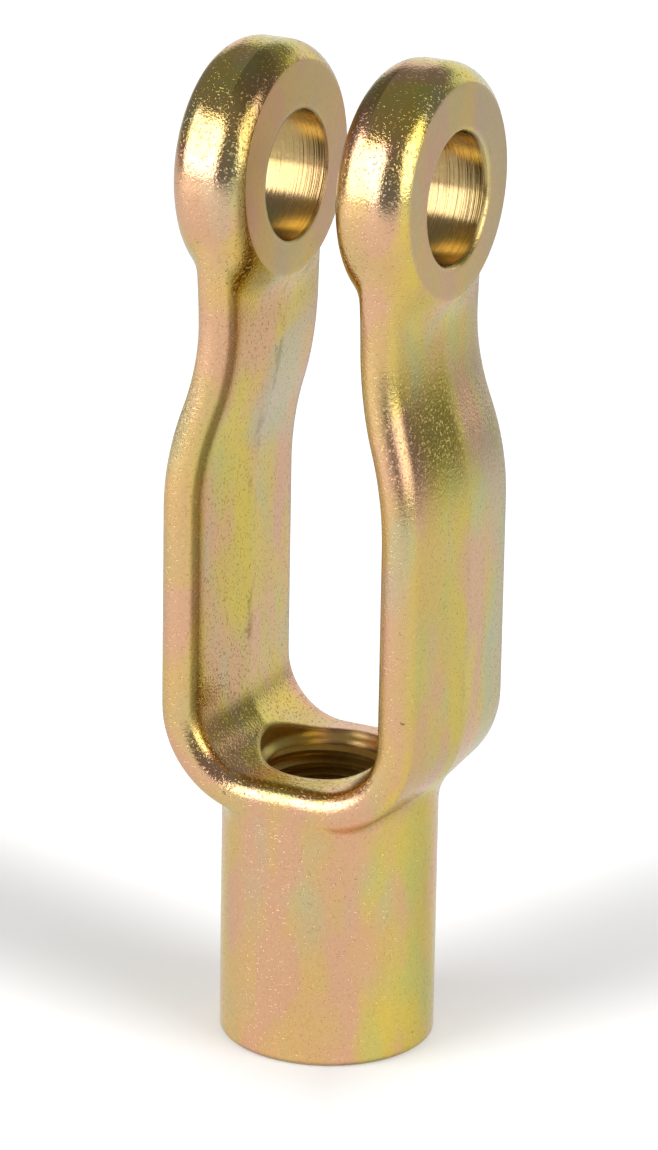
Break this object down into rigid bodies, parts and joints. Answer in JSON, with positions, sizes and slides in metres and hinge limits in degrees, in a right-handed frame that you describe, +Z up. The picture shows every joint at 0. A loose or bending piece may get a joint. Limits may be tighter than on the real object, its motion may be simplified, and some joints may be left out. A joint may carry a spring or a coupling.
{
  "type": "clevis rod end",
  "caption": "Forged clevis rod end: a long wishbone fork with two eyes for a cross pin, on a round shank tapped for a threaded rod.",
  "frame": {"origin": "centre of the shank's flat end, on which the part stands", "axes": "+Z up along the shank's axis to the eyes, +X along the pin bore, the fork's slot open along Y"},
  "size_m": [0.0286, 0.0242, 0.0999],
  "materials": {
    "plated_steel": "yellow zinc plating over forged and milled steel"
  },
  "bodies": {
    "root": {"forged_yoke": "plated_steel"}
  },
  "joints": []
}
